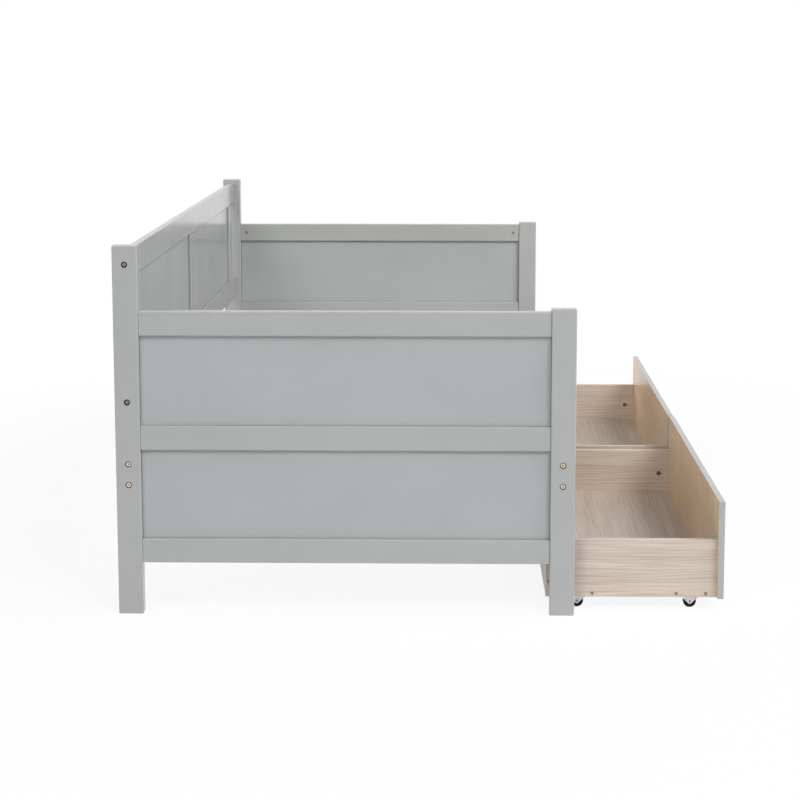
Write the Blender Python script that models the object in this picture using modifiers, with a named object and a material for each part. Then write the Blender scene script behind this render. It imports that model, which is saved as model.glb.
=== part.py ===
"""A storage daybed: two frame-and-panel ends, a frame-and-panel back, side rails with slats for the
mattress, and two drawers that roll out from under the bed on fixed casters.

Metres. +X runs along the bed, the drawers open towards -Y and +Z is up. The origin is on the floor,
under the middle of the daybed as it stands here, with both drawers pulled out.
"""

import math

import bmesh
import bpy
from mathutils import Matrix, Vector

# The whole daybed
BED_LENGTH = 2.000
BED_DEPTH = 1.080
LEFT_PULL = 0.358
RIGHT_PULL = 0.3555
SEAT_GAP = 0.0003
CUT_OVERRUN = 0.004

# Posts
POST_THICKNESS = 0.028
POST_WIDTH = 0.0585
POST_ROUNDING = 0.0025
FRONT_POST_RISE = 0.0075
REAR_POST_RISE = 0.011

# Ends: three rails and two thin panels between a rear post and a front post
END_RAIL_THICKNESS = 0.022
END_RAIL_HEIGHT = 0.058
END_RAIL_ROUNDING = 0.002
END_FLOOR_GAP = 0.1245
END_PANEL_OPENING = 0.214
PANEL_THICKNESS = 0.005
GROOVE_DEPTH = 0.008
TENON_THICKNESS = 0.010
TENON_LENGTH = 0.020
TENON_WALL = 0.003

# Back: two rails, three stiles and two thin panels
BACK_THICKNESS = 0.018
BACK_RAIL_HEIGHT = 0.068
BACK_OPENING = 0.257
BACK_ROUNDING = 0.002
BACK_GAP = 0.089
STILE_WIDTH = 0.072
STILE_TO_POST = 0.072

# Side rails with a glued ledger, and the slats that lie on the ledgers
SIDE_RAIL_THICKNESS = 0.022
SIDE_RAIL_HEIGHT = 0.100
SIDE_RAIL_ROUNDING = 0.002
LEDGER_WIDTH = 0.025
LEDGER_HEIGHT = 0.025
LEDGER_RISE = 0.012
LEDGER_SHORTFALL = 0.040
SLAT_COUNT = 11
SLAT_WIDTH = 0.080
SLAT_THICKNESS = 0.018
SLAT_ROUNDING = 0.002
SLAT_END_GAP = 0.002
SLAT_TO_POST = 0.042

# Bolts through the posts into barrel nuts in the rails
BOLT_HOLE_RADIUS = 0.0035
BOLT_HEAD_RADIUS = 0.0075
BOLT_HEAD_DEPTH = 0.005
BOLT_REACH = 0.045
BOLT_SPREAD = 0.025
BARREL_RADIUS = 0.005
BARREL_DEPTH = 0.014
BARREL_SETBACK = 0.030

# Drawers
DRAWER_END_GAP = 0.008
DRAWER_MIDDLE_GAP = 0.006
DRAWER_FRONT_HEIGHT = 0.2375
DRAWER_FRONT_THICKNESS = 0.015
DRAWER_ROUNDING = 0.001
FINGER_GAP = 0.0195
BOX_INSET = 0.014
BOX_DEPTH = 0.408
BOX_HEIGHT = 0.141
BOARD_THICKNESS = 0.015
BOTTOM_THICKNESS = 0.005
BOTTOM_RISE = 0.015
BOTTOM_GROOVE = 0.005
BATTEN_WIDTH = 0.030
BATTEN_RISE = 0.0028

# Casters: a wheel on a riveted axle in a U-shaped bracket of sheet steel
WHEEL_RADIUS = 0.0155
WHEEL_WIDTH = 0.013
WHEEL_SHOULDER = 0.0015
WHEEL_RIM = 0.003
WHEEL_HUB_RADIUS = 0.0055
WHEEL_RECESS = 0.002
WHEEL_HEADROOM = 0.001
AXLE_RADIUS = 0.0025
AXLE_CLEARANCE = 0.0003
RIVET_RADIUS = 0.0038
RIVET_HEIGHT = 0.001
BRACKET_LENGTH = 0.045
BRACKET_WIDTH = 0.018
BRACKET_SHEET = 0.0015
BRACKET_SKIRT = 0.003
BRACKET_EYE_RADIUS = 0.006
CASTER_SETBACK = 0.076
CASTER_SIDE_GAP = 0.001

# Facets
ROUNDING_STEPS = 2
HOLE_SIDES = 16
AXLE_SIDES = 16
WHEEL_SIDES = 20
EYE_STEPS = 8

# Heights that follow from the sizes above
DRAWER_FLOOR_GAP = 2 * WHEEL_RADIUS + WHEEL_HEADROOM + BRACKET_SHEET + SEAT_GAP - BATTEN_RISE
SIDE_RAIL_BOTTOM = DRAWER_FLOOR_GAP + DRAWER_FRONT_HEIGHT + FINGER_GAP
SIDE_RAIL_MIDDLE = SIDE_RAIL_BOTTOM + SIDE_RAIL_HEIGHT / 2
LEDGER_TOP = SIDE_RAIL_BOTTOM + LEDGER_RISE + LEDGER_HEIGHT
BACK_BOTTOM = SIDE_RAIL_BOTTOM + SIDE_RAIL_HEIGHT + BACK_GAP
BACK_BOTTOM_RAIL_MIDDLE = BACK_BOTTOM + BACK_RAIL_HEIGHT / 2
BACK_OPENING_MIDDLE = BACK_BOTTOM + BACK_RAIL_HEIGHT + BACK_OPENING / 2
BACK_TOP_RAIL_MIDDLE = BACK_OPENING_MIDDLE + BACK_OPENING / 2 + BACK_RAIL_HEIGHT / 2
REAR_POST_HEIGHT = BACK_TOP_RAIL_MIDDLE + BACK_RAIL_HEIGHT / 2 + REAR_POST_RISE
END_RAIL_STEP = END_RAIL_HEIGHT + END_PANEL_OPENING
BOTTOM_RAIL_MIDDLE = END_FLOOR_GAP + END_RAIL_HEIGHT / 2
MID_RAIL_MIDDLE = BOTTOM_RAIL_MIDDLE + END_RAIL_STEP
TOP_RAIL_MIDDLE = MID_RAIL_MIDDLE + END_RAIL_STEP
FRONT_POST_HEIGHT = TOP_RAIL_MIDDLE + END_RAIL_HEIGHT / 2 + FRONT_POST_RISE

# Places across the bed and along it
REAR_Y = (BED_DEPTH + max(LEFT_PULL, RIGHT_PULL)) / 2
FRONT_Y = REAR_Y - BED_DEPTH
REAR_POST_Y = REAR_Y - POST_WIDTH / 2
FRONT_POST_Y = FRONT_Y + POST_WIDTH / 2
MIDDLE_Y = (REAR_Y + FRONT_Y) / 2
POST_X = BED_LENGTH / 2 - POST_THICKNESS / 2
INNER_LENGTH = BED_LENGTH - 2 * POST_THICKNESS
INNER_DEPTH = BED_DEPTH - 2 * POST_WIDTH

# Grooves and tenons
GROOVE_WIDTH = PANEL_THICKNESS + 2 * SEAT_GAP
PANEL_SEAT = GROOVE_DEPTH - SEAT_GAP
TENON_SHOULDER = GROOVE_DEPTH + TENON_WALL
TENON_HEIGHT = END_RAIL_HEIGHT - 2 * TENON_SHOULDER

SIDES = (("left", -1), ("right", 1))


def new_collection(name):
    """An empty collection in the scene."""
    found = bpy.data.collections.get(name)
    if found:
        bpy.data.collections.remove(found)
    group = bpy.data.collections.new(name)
    bpy.context.scene.collection.children.link(group)
    return group


def new_finish(name, colour, roughness, metallic=0.0):
    """A plain Principled material."""
    finish = bpy.data.materials.new(name)
    finish.use_nodes = True
    shader = finish.node_tree.nodes["Principled BSDF"]
    shader.inputs["Base Color"].default_value = (*colour, 1.0)
    shader.inputs["Roughness"].default_value = roughness
    shader.inputs["Metallic"].default_value = metallic
    finish.diffuse_color = (*colour, 1.0)
    return finish


def add_object(name, mesh, group, location=(0, 0, 0), parent=None):
    """An object for the mesh, in the group, at its location from its parent."""
    piece = bpy.data.objects.new(name, mesh)
    piece.location = location
    piece.parent = parent
    group.objects.link(piece)
    return piece


def block_mesh(name, size, rounding=0.0, along=""):
    """A box centred on its origin. The edges that run along the named axes are rounded."""
    form = bmesh.new()
    bmesh.ops.create_cube(form, size=1.0)
    bmesh.ops.scale(form, vec=Vector(size), verts=form.verts)
    if rounding:
        directions = ["XYZ".index(letter) for letter in along]
        edges = []
        for edge in form.edges:
            run = edge.verts[1].co - edge.verts[0].co
            if any(abs(run[i]) > rounding for i in directions):
                edges.append(edge)
        bmesh.ops.bevel(
            form,
            geom=edges,
            offset=rounding,
            segments=ROUNDING_STEPS,
            profile=0.5,
            affect="EDGES",
        )
    mesh = bpy.data.meshes.new(name)
    form.to_mesh(mesh)
    form.free()
    return mesh


def rod_mesh(name, radius, length, sides):
    """A round rod along X, centred on its origin."""
    form = bmesh.new()
    bmesh.ops.create_cone(
        form, cap_ends=True, segments=sides, radius1=radius, radius2=radius, depth=length
    )
    bmesh.ops.rotate(form, matrix=Matrix.Rotation(math.pi / 2, 3, "Y"), verts=form.verts)
    mesh = bpy.data.meshes.new(name)
    form.to_mesh(mesh)
    form.free()
    return mesh


def add_block(name, size, location, finish, rounding=0.0, along="", parent=None):
    """A rectangular piece of the daybed."""
    mesh = block_mesh(name, size, rounding, along)
    mesh.materials.append(finish)
    return add_object(name, mesh, daybed, location, parent)


def combine(piece, tool, operation):
    """Cut the tool from the piece, or join it on, and leave the tool as a hidden guide."""
    tool.hide_render = True
    tool.display_type = "WIRE"
    step = piece.modifiers.new(tool.name, "BOOLEAN")
    step.operation = operation
    step.solver = "EXACT"
    step.object = tool


def cut_block(piece, size, location, parent=None):
    """A square-cut groove, mortise or slot."""
    mesh = block_mesh(f"{piece.name}_cut", size)
    combine(piece, add_object(mesh.name, mesh, guides, location, parent), "DIFFERENCE")


def join_block(piece, size, location, parent=None):
    """A tenon, ledger or batten that is one with its piece."""
    mesh = block_mesh(f"{piece.name}_join", size)
    combine(piece, add_object(mesh.name, mesh, guides, location, parent), "UNION")


def drill(piece, radius, length, location, turn=0.0):
    """A round hole along X, or along Y where turn is a right angle."""
    mesh = rod_mesh(f"{piece.name}_drill", radius, length, HOLE_SIDES)
    tool = add_object(mesh.name, mesh, guides, location)
    tool.rotation_euler.z = turn
    combine(piece, tool, "DIFFERENCE")


def drill_post(post, side, y, z):
    """A bolt's hole right through a post, with a wider seat for its head in the outer face."""
    outer = side * BED_LENGTH / 2
    drill(post, BOLT_HOLE_RADIUS, POST_THICKNESS + 2 * CUT_OVERRUN, (side * POST_X, y, z))
    seat_length = BOLT_HEAD_DEPTH + CUT_OVERRUN
    seat_middle = outer + side * (CUT_OVERRUN - BOLT_HEAD_DEPTH) / 2
    drill(post, BOLT_HEAD_RADIUS, seat_length, (seat_middle, y, z))


def drill_rail_end(rail, side, y, z, thickness, facing):
    """A bolt's hole into the end of a rail, and a barrel nut's hole across it from one face."""
    end = side * INNER_LENGTH / 2
    length = BOLT_REACH + CUT_OVERRUN
    drill(rail, BOLT_HOLE_RADIUS, length, (end - side * (BOLT_REACH - CUT_OVERRUN) / 2, y, z))
    length = BARREL_DEPTH + CUT_OVERRUN
    middle = y + facing * (thickness + CUT_OVERRUN - BARREL_DEPTH) / 2
    drill(rail, BARREL_RADIUS, length, (end - side * BARREL_SETBACK, middle, z), math.pi / 2)


def build_post(name, side, y, inward, height, bolts):
    """A post with mortises for the end rails and a groove for the end panels in its inner edge."""
    x = side * POST_X
    size = (POST_THICKNESS, POST_WIDTH, height)
    post = add_block(name, size, (x, y, height / 2), paint, POST_ROUNDING, "XYZ")
    edge = y + inward * POST_WIDTH / 2
    groove_middle = edge + inward * (CUT_OVERRUN - GROOVE_DEPTH) / 2
    groove = (GROOVE_WIDTH, GROOVE_DEPTH + CUT_OVERRUN, TOP_RAIL_MIDDLE - BOTTOM_RAIL_MIDDLE)
    cut_block(post, groove, (x, groove_middle, MID_RAIL_MIDDLE))
    mortise_depth = TENON_LENGTH + SEAT_GAP
    mortise = (
        TENON_THICKNESS + 2 * SEAT_GAP,
        mortise_depth + CUT_OVERRUN,
        TENON_HEIGHT + 2 * SEAT_GAP,
    )
    mortise_middle = edge + inward * (CUT_OVERRUN - mortise_depth) / 2
    for z in (BOTTOM_RAIL_MIDDLE, MID_RAIL_MIDDLE, TOP_RAIL_MIDDLE):
        cut_block(post, mortise, (x, mortise_middle, z))
    for z in bolts:
        drill_post(post, side, y, z)


def build_end_rail(name, side, z, grooves):
    """An end rail with a tenon at each end and a groove in each edge that holds a panel."""
    x = side * POST_X
    length = INNER_DEPTH - 2 * SEAT_GAP
    size = (END_RAIL_THICKNESS, length, END_RAIL_HEIGHT)
    rail = add_block(name, size, (x, MIDDLE_Y, z), paint, END_RAIL_ROUNDING, "Y")
    tenon = (TENON_THICKNESS, INNER_DEPTH + 2 * TENON_LENGTH, TENON_HEIGHT)
    join_block(rail, tenon, (x, MIDDLE_Y, z))
    groove = (GROOVE_WIDTH, INNER_DEPTH + 2 * CUT_OVERRUN, GROOVE_DEPTH + CUT_OVERRUN)
    for edge in grooves:
        middle = z + edge * (END_RAIL_HEIGHT + CUT_OVERRUN - GROOVE_DEPTH) / 2
        cut_block(rail, groove, (x, MIDDLE_Y, middle))


def build_end(label, side):
    """One end of the daybed."""
    side_bolts = [SIDE_RAIL_MIDDLE - BOLT_SPREAD, SIDE_RAIL_MIDDLE + BOLT_SPREAD]
    rear_bolts = side_bolts + [BACK_BOTTOM_RAIL_MIDDLE, BACK_TOP_RAIL_MIDDLE]
    build_post(f"{label}_rear_post", side, REAR_POST_Y, -1, REAR_POST_HEIGHT, rear_bolts)
    build_post(f"{label}_front_post", side, FRONT_POST_Y, 1, FRONT_POST_HEIGHT, side_bolts)
    build_end_rail(f"{label}_bottom_rail", side, BOTTOM_RAIL_MIDDLE, (1,))
    build_end_rail(f"{label}_mid_rail", side, MID_RAIL_MIDDLE, (-1, 1))
    build_end_rail(f"{label}_top_rail", side, TOP_RAIL_MIDDLE, (-1,))
    panel = (
        PANEL_THICKNESS,
        INNER_DEPTH + 2 * PANEL_SEAT,
        END_PANEL_OPENING + 2 * PANEL_SEAT,
    )
    lower = MID_RAIL_MIDDLE - END_RAIL_STEP / 2
    add_block(f"{label}_lower_panel", panel, (side * POST_X, MIDDLE_Y, lower), panel_paint)
    upper = MID_RAIL_MIDDLE + END_RAIL_STEP / 2
    add_block(f"{label}_upper_panel", panel, (side * POST_X, MIDDLE_Y, upper), panel_paint)


def build_back_rail(name, z, grooved_edge):
    """A back rail, bolted between the rear posts, with one groove for the stiles and panels."""
    size = (INNER_LENGTH - 2 * SEAT_GAP, BACK_THICKNESS, BACK_RAIL_HEIGHT)
    rail = add_block(name, size, (0, REAR_POST_Y, z), paint, BACK_ROUNDING, "X")
    run = INNER_LENGTH - 2 * (STILE_TO_POST + TENON_SHOULDER - SEAT_GAP)
    middle = z + grooved_edge * (BACK_RAIL_HEIGHT + CUT_OVERRUN - GROOVE_DEPTH) / 2
    cut_block(rail, (run, GROOVE_WIDTH, GROOVE_DEPTH + CUT_OVERRUN), (0, REAR_POST_Y, middle))
    for _, side in SIDES:
        drill_rail_end(rail, side, REAR_POST_Y, z, BACK_THICKNESS, 1)


def build_stile(name, x, grooves):
    """An upright of the back, with a stub tenon at each end and a groove beside each panel."""
    place = (x, REAR_POST_Y, BACK_OPENING_MIDDLE)
    size = (STILE_WIDTH, BACK_THICKNESS, BACK_OPENING - 2 * SEAT_GAP)
    stile = add_block(name, size, place, paint, BACK_ROUNDING, "Z")
    tenon = (
        STILE_WIDTH - 2 * TENON_SHOULDER,
        PANEL_THICKNESS,
        BACK_OPENING + 2 * PANEL_SEAT,
    )
    join_block(stile, tenon, place)
    groove = (GROOVE_DEPTH + CUT_OVERRUN, GROOVE_WIDTH, BACK_OPENING + 2 * CUT_OVERRUN)
    for edge in grooves:
        middle = x + edge * (STILE_WIDTH + CUT_OVERRUN - GROOVE_DEPTH) / 2
        cut_block(stile, groove, (middle, REAR_POST_Y, BACK_OPENING_MIDDLE))


def build_back():
    """The back of the daybed."""
    build_back_rail("back_bottom_rail", BACK_BOTTOM_RAIL_MIDDLE, 1)
    build_back_rail("back_top_rail", BACK_TOP_RAIL_MIDDLE, -1)
    end_stile_x = INNER_LENGTH / 2 - STILE_TO_POST - STILE_WIDTH / 2
    build_stile("back_left_stile", -end_stile_x, (1,))
    build_stile("back_mid_stile", 0, (-1, 1))
    build_stile("back_right_stile", end_stile_x, (-1,))
    opening = end_stile_x - STILE_WIDTH
    panel = (opening + 2 * PANEL_SEAT, PANEL_THICKNESS, BACK_OPENING + 2 * PANEL_SEAT)
    for label, side in SIDES:
        place = (side * end_stile_x / 2, REAR_POST_Y, BACK_OPENING_MIDDLE)
        add_block(f"back_{label}_panel", panel, place, panel_paint)


def build_side_rail(name, y, inward):
    """A side rail with the ledger glued to its inner face."""
    place = (0, y, SIDE_RAIL_MIDDLE)
    size = (INNER_LENGTH - 2 * SEAT_GAP, SIDE_RAIL_THICKNESS, SIDE_RAIL_HEIGHT)
    rail = add_block(name, size, place, paint, SIDE_RAIL_ROUNDING, "X")
    reach = SIDE_RAIL_THICKNESS / 2 + LEDGER_WIDTH
    ledger = (INNER_LENGTH - 2 * LEDGER_SHORTFALL, reach, LEDGER_HEIGHT)
    join_block(rail, ledger, (0, y + inward * reach / 2, LEDGER_TOP - LEDGER_HEIGHT / 2))
    for _, side in SIDES:
        for z in (SIDE_RAIL_MIDDLE - BOLT_SPREAD, SIDE_RAIL_MIDDLE + BOLT_SPREAD):
            drill_rail_end(rail, side, y, z, SIDE_RAIL_THICKNESS, inward)


def build_slats():
    """The slats, at an even pitch along the ledgers."""
    clear = BED_DEPTH - POST_WIDTH - SIDE_RAIL_THICKNESS
    size = (SLAT_WIDTH, clear - 2 * SLAT_END_GAP, SLAT_THICKNESS)
    mesh = block_mesh("slat", size, SLAT_ROUNDING, "Y")
    mesh.materials.append(slat_wood)
    first = -INNER_LENGTH / 2 + SLAT_TO_POST + SLAT_WIDTH / 2
    pitch = -2 * first / (SLAT_COUNT - 1)
    z = LEDGER_TOP + SEAT_GAP + SLAT_THICKNESS / 2
    for i in range(SLAT_COUNT):
        add_object(f"slat_{i + 1:02d}", mesh, daybed, (first + i * pitch, MIDDLE_Y, z))


def axle_pin():
    """An axle with a low domed rivet head at each end, turned about its own length, along X."""
    grip = BRACKET_WIDTH / 2 - BRACKET_SHEET / 2
    tip = BRACKET_WIDTH / 2 + RIVET_HEIGHT
    crown = RIVET_RADIUS - RIVET_HEIGHT
    half = [
        (0, tip),
        (crown, tip),
        (RIVET_RADIUS, BRACKET_WIDTH / 2 + RIVET_HEIGHT / 2),
        (RIVET_RADIUS, grip),
        (AXLE_RADIUS, grip),
    ]
    profile = half + [(radius, -height) for radius, height in reversed(half)]
    return turned_mesh("axle", profile, AXLE_SIDES, closed=False)


def turned_mesh(name, profile, sides, closed):
    """A profile of (radius, height) points turned about the height axis, which is laid along X."""
    form = bmesh.new()
    points = [form.verts.new((radius, 0, height)) for radius, height in profile]
    for start, end in zip(points, points[1:]):
        form.edges.new((start, end))
    if closed:
        form.edges.new((points[-1], points[0]))
    outline = bpy.data.meshes.new(f"{name}_outline")
    form.to_mesh(outline)
    form.free()
    lathe = add_object(f"{name}_lathe", outline, guides)
    turn = lathe.modifiers.new("turn", "SCREW")
    turn.axis = "Z"
    turn.steps = sides
    turn.render_steps = sides
    turn.use_merge_vertices = True
    turn.merge_threshold = 0.00001
    mesh = finished_mesh(lathe, name)
    mesh.transform(Matrix.Rotation(math.pi / 2, 4, "Y"))
    return mesh


def finished_mesh(source, name):
    """The mesh that an object's modifiers make, as a mesh of its own. The object is removed."""
    bpy.context.view_layer.update()
    graph = bpy.context.evaluated_depsgraph_get()
    mesh = bpy.data.meshes.new_from_object(source.evaluated_get(graph))
    mesh.name = name
    bpy.data.objects.remove(source)
    return mesh


def bracket_outline():
    """The bracket seen along the axle: a straight top, short skirts, and sides that taper to a round
    eye about the axle. Points are (across, up) from the axle."""
    top = WHEEL_RADIUS + WHEEL_HEADROOM + BRACKET_SHEET
    half = BRACKET_LENGTH / 2
    foot = Vector((half, top - BRACKET_SKIRT))
    reach = foot.length
    lean = math.atan2(foot.y, foot.x) - math.acos(BRACKET_EYE_RADIUS / reach)
    sweep = math.pi + 2 * lean
    right = []
    for i in range(EYE_STEPS + 1):
        angle = lean - sweep * i / EYE_STEPS
        right.append((BRACKET_EYE_RADIUS * math.cos(angle), BRACKET_EYE_RADIUS * math.sin(angle)))
    return [(-half, foot.y), (-half, top), (half, top), (half, foot.y)] + right


def bracket_mesh():
    """A caster bracket about its axle: a solid of its outline, slotted for the wheel, with the axle
    riveted through both cheeks."""
    curve = bpy.data.curves.new("bracket_curve", "CURVE")
    curve.dimensions = "2D"
    curve.fill_mode = "BOTH"
    curve.extrude = BRACKET_WIDTH / 2
    outline = bracket_outline()
    spline = curve.splines.new("POLY")
    spline.points.add(len(outline) - 1)
    for point, (across, up) in zip(spline.points, outline):
        point.co = (across, up, 0, 1)
    spline.use_cyclic_u = True
    body_mesh = finished_mesh(add_object("bracket_form", curve, guides), "bracket_body")
    form = bmesh.new()
    form.from_mesh(body_mesh)
    bmesh.ops.remove_doubles(form, verts=form.verts, dist=0.00001)
    stand = Matrix(((0, 0, 1, 0), (1, 0, 0, 0), (0, 1, 0, 0), (0, 0, 0, 1)))
    form.transform(stand)
    bmesh.ops.recalc_face_normals(form, faces=form.faces)
    form.to_mesh(body_mesh)
    form.free()
    body = add_object("bracket_body", body_mesh, guides)
    slot_width = BRACKET_WIDTH - 2 * BRACKET_SHEET
    slot_top = WHEEL_RADIUS + WHEEL_HEADROOM
    slot_bottom = -BRACKET_EYE_RADIUS - CUT_OVERRUN
    slot = (slot_width, BRACKET_LENGTH + 2 * CUT_OVERRUN, slot_top - slot_bottom)
    cut_block(body, slot, (0, 0, (slot_top + slot_bottom) / 2))
    combine(body, add_object("axle_pin", axle_pin(), guides), "UNION")
    mesh = finished_mesh(body, "caster_bracket")
    mesh.materials.clear()
    mesh.materials.append(bracket_paint)
    return mesh


def wheel_mesh():
    """A small wheel about its axle: a rim with chamfered shoulders, a thin web and a bored hub."""
    half = WHEEL_WIDTH / 2
    web = half - WHEEL_RECESS
    bore = AXLE_RADIUS + AXLE_CLEARANCE
    rim = WHEEL_RADIUS - WHEEL_RIM
    upper = [
        (bore, half),
        (WHEEL_HUB_RADIUS, half),
        (WHEEL_HUB_RADIUS, web),
        (rim, web),
        (rim, half),
        (WHEEL_RADIUS - WHEEL_SHOULDER, half),
        (WHEEL_RADIUS, half - WHEEL_SHOULDER),
    ]
    profile = upper + [(radius, -height) for radius, height in reversed(upper)]
    mesh = turned_mesh("caster_wheel", profile, WHEEL_SIDES, closed=True)
    mesh.materials.clear()
    mesh.materials.append(wheel_plastic)
    return mesh


def drawer_front(label, length, frame):
    """A drawer's front board, grooved at the back for the bottom board."""
    size = (length, DRAWER_FRONT_THICKNESS, DRAWER_FRONT_HEIGHT)
    place = (0, DRAWER_FRONT_THICKNESS / 2, DRAWER_FLOOR_GAP + DRAWER_FRONT_HEIGHT / 2)
    front = add_block(
        f"{label}_drawer_front", size, place, front_board, DRAWER_ROUNDING, "XYZ", frame
    )
    run = length - 2 * (BOX_INSET + BOARD_THICKNESS - BOTTOM_GROOVE)
    middle = DRAWER_FRONT_THICKNESS + (CUT_OVERRUN - BOTTOM_GROOVE) / 2
    cut_block(front, bottom_groove(run), (0, middle, BOTTOM_MIDDLE), frame)


def bottom_groove(run):
    """The size of a groove along X that holds the bottom board."""
    return (run, BOTTOM_GROOVE + CUT_OVERRUN, BOTTOM_THICKNESS + 2 * SEAT_GAP)


def drawer_side(label, end_label, end, length, frame):
    """A drawer's side board, with the batten under the bottom board that carries the casters."""
    x = end * (length / 2 - BOX_INSET - BOARD_THICKNESS / 2)
    near_y = DRAWER_FRONT_THICKNESS + SEAT_GAP
    far_y = DRAWER_FRONT_THICKNESS + BOX_DEPTH
    size = (BOARD_THICKNESS, far_y - near_y, BOX_HEIGHT)
    place = (x, (near_y + far_y) / 2, DRAWER_FLOOR_GAP + BOX_HEIGHT / 2)
    side = add_block(
        f"{label}_drawer_{end_label}_side", size, place, drawer_board, DRAWER_ROUNDING, "Y", frame
    )
    batten_far_y = far_y - BOARD_THICKNESS - SEAT_GAP
    batten_bottom = DRAWER_FLOOR_GAP + BATTEN_RISE
    reach = BOARD_THICKNESS / 2 + BATTEN_WIDTH
    batten = (reach, batten_far_y - near_y, BOTTOM_MIDDLE - batten_bottom)
    batten_x = x - end * reach / 2
    batten_z = (BOTTOM_MIDDLE + batten_bottom) / 2
    join_block(side, batten, (batten_x, (near_y + batten_far_y) / 2, batten_z), frame)
    groove_reach = BOTTOM_GROOVE + BATTEN_WIDTH + CUT_OVERRUN
    groove_x = x - end * (BOARD_THICKNESS / 2 - BOTTOM_GROOVE + groove_reach / 2)
    groove = (groove_reach, BOX_DEPTH + 2 * CUT_OVERRUN, BOTTOM_THICKNESS + 2 * SEAT_GAP)
    cut_block(side, groove, (groove_x, place[1], BOTTOM_MIDDLE), frame)


def drawer_back(label, length, frame):
    """A drawer's back board, between its sides, grooved for the bottom board."""
    run = length - 2 * (BOX_INSET + BOARD_THICKNESS + SEAT_GAP)
    y = DRAWER_FRONT_THICKNESS + BOX_DEPTH - BOARD_THICKNESS / 2
    size = (run, BOARD_THICKNESS, BOX_HEIGHT)
    place = (0, y, DRAWER_FLOOR_GAP + BOX_HEIGHT / 2)
    back = add_block(
        f"{label}_drawer_back", size, place, drawer_board, DRAWER_ROUNDING, "X", frame
    )
    middle = y - (BOARD_THICKNESS + CUT_OVERRUN - BOTTOM_GROOVE) / 2
    cut_block(back, bottom_groove(run + 2 * CUT_OVERRUN), (0, middle, BOTTOM_MIDDLE), frame)


def drawer_bottom(label, length, frame):
    """A drawer's bottom board, held in the grooves of all four boards."""
    width = length - 2 * (BOX_INSET + BOARD_THICKNESS - BOTTOM_GROOVE + SEAT_GAP)
    near_y = DRAWER_FRONT_THICKNESS - BOTTOM_GROOVE + SEAT_GAP
    far_y = DRAWER_FRONT_THICKNESS + BOX_DEPTH - BOARD_THICKNESS + BOTTOM_GROOVE - SEAT_GAP
    size = (width, far_y - near_y, BOTTOM_THICKNESS)
    place = (0, (near_y + far_y) / 2, BOTTOM_MIDDLE)
    add_block(f"{label}_drawer_bottom", size, place, drawer_board, parent=frame)


def drawer_casters(label, length, frame, bracket, wheel):
    """Four casters under the battens, each wheel on its own origin at its axle."""
    inner_x = length / 2 - BOX_INSET - BOARD_THICKNESS
    x = inner_x - CASTER_SIDE_GAP - RIVET_HEIGHT - BRACKET_WIDTH / 2
    rear_y = DRAWER_FRONT_THICKNESS + BOX_DEPTH - CASTER_SETBACK
    for row, y in (("front", CASTER_SETBACK), ("rear", rear_y)):
        for end_label, end in SIDES:
            place = (end * x, y, WHEEL_RADIUS)
            name = f"{label}_drawer_{row}_{end_label}"
            add_object(f"{name}_bracket", bracket, daybed, place, frame)
            add_object(f"{name}_wheel", wheel, daybed, place, frame)


def build_drawer(label, side, pull, bracket, wheel):
    """One drawer, about a frame at the foot of its front's outer face."""
    length = (INNER_LENGTH - DRAWER_MIDDLE_GAP) / 2 - DRAWER_END_GAP
    frame = bpy.data.objects.new(f"{label}_drawer_frame", None)
    frame.location = (side * (length + DRAWER_MIDDLE_GAP) / 2, FRONT_Y - pull, 0)
    daybed.objects.link(frame)
    drawer_front(label, length, frame)
    drawer_back(label, length, frame)
    drawer_bottom(label, length, frame)
    for end_label, end in SIDES:
        drawer_side(label, end_label, end, length, frame)
    drawer_casters(label, length, frame, bracket, wheel)


BOTTOM_MIDDLE = DRAWER_FLOOR_GAP + BOTTOM_RISE + BOTTOM_THICKNESS / 2

for stray in list(bpy.data.objects):
    bpy.data.objects.remove(stray)

daybed = new_collection("storage_daybed")
guides = new_collection("guides")

paint = new_finish("grey_paint", (0.43, 0.45, 0.45), 0.45)
panel_paint = new_finish("grey_panel_paint", (0.42, 0.45, 0.46), 0.40)
slat_wood = new_finish("pine", (0.66, 0.50, 0.32), 0.60)
drawer_board = new_finish("pale_oak_board", (0.62, 0.52, 0.43), 0.50)
front_board = new_finish("drawer_front_board", (0.43, 0.45, 0.45), 0.45)
bracket_paint = new_finish("white_bracket", (0.80, 0.80, 0.79), 0.40)
wheel_plastic = new_finish("black_wheel", (0.02, 0.02, 0.02), 0.45)

for end_name, end_side in SIDES:
    build_end(end_name, end_side)
build_back()
build_side_rail("front_side_rail", FRONT_POST_Y, 1)
build_side_rail("rear_side_rail", REAR_POST_Y, -1)
build_slats()

shared_bracket = bracket_mesh()
shared_wheel = wheel_mesh()
build_drawer("left", -1, LEFT_PULL, shared_bracket, shared_wheel)
build_drawer("right", 1, RIGHT_PULL, shared_bracket, shared_wheel)

for piece in daybed.objects:
    if piece.name.endswith(("_wheel", "_bracket")):
        piece.data.shade_smooth()
        piece.data.set_sharp_from_angle(angle=math.radians(30))
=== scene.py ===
# %% [markdown]
# # A painted daybed with two drawers on casters
# The bed is a low frame of solid timber, painted a pale, slightly cool grey. Both ends and the back
# are frames with thin panels let into them, slats lie across the two side rails, and two boxes on
# small casters roll out from under the front.
# The solids are already made and packed, in metres, in one frame. This lesson adds what a maker would
# see on the finished piece: the paint, the wood of the drawers, the bolts and screws, and the light.

# %% Load the solids and measure them
import math

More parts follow.
